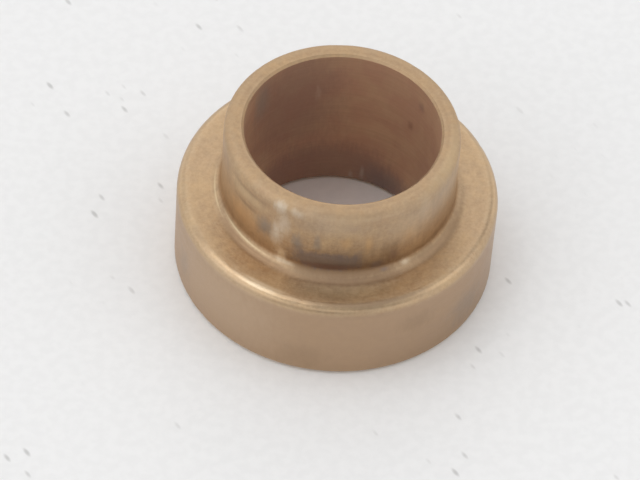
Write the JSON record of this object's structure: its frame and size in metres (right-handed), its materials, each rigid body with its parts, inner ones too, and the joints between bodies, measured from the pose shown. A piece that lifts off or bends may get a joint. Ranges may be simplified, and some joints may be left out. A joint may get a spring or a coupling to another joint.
{
  "type": "flanged sleeve bushing",
  "caption": "Bronze sleeve bushing with a thick wide flange, a shorter press-fit neck and a straight running bore.",
  "frame": {"origin": "centre of the bore in the plane of the flange's seating face", "axes": "+Z along the bore axis, from the flange towards the neck end; turned about Z, so +X is free"},
  "size_m": [0.033, 0.033, 0.019],
  "materials": {
    "bronze": "satin, lightly grained bronze"
  },
  "bodies": {
    "root": {"flanged_bushing": "bronze"}
  },
  "joints": []
}
